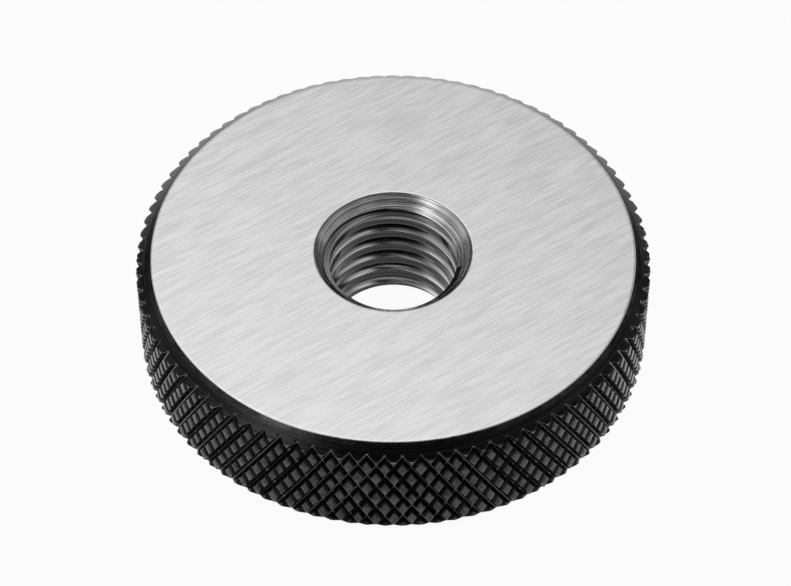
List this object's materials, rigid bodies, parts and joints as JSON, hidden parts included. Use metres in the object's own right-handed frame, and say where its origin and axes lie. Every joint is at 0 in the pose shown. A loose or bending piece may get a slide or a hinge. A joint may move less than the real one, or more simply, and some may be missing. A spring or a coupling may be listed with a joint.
{
  "type": "thread ring gauge",
  "caption": "Knurled steel ring with ground faces, a chamfer at each edge of the rim and a countersunk bore for a screw thread, for checking external threads.",
  "frame": {"origin": "centre of the bore at the lower face, which the ring rests on", "axes": "+Z along the bore and the thread, out of the upper face with the wide countersink; X and Y are any two directions across the ring"},
  "size_m": [0.032, 0.032, 0.008],
  "materials": {
    "ground_steel": "bare hardened steel: faces ground in one direction, bore and thread turned",
    "black_oxide": "black oxide on the knurled rim and both chamfers, satin"
  },
  "bodies": {
    "root": {"gauge_ring": "ground_steel"}
  },
  "joints": []
}
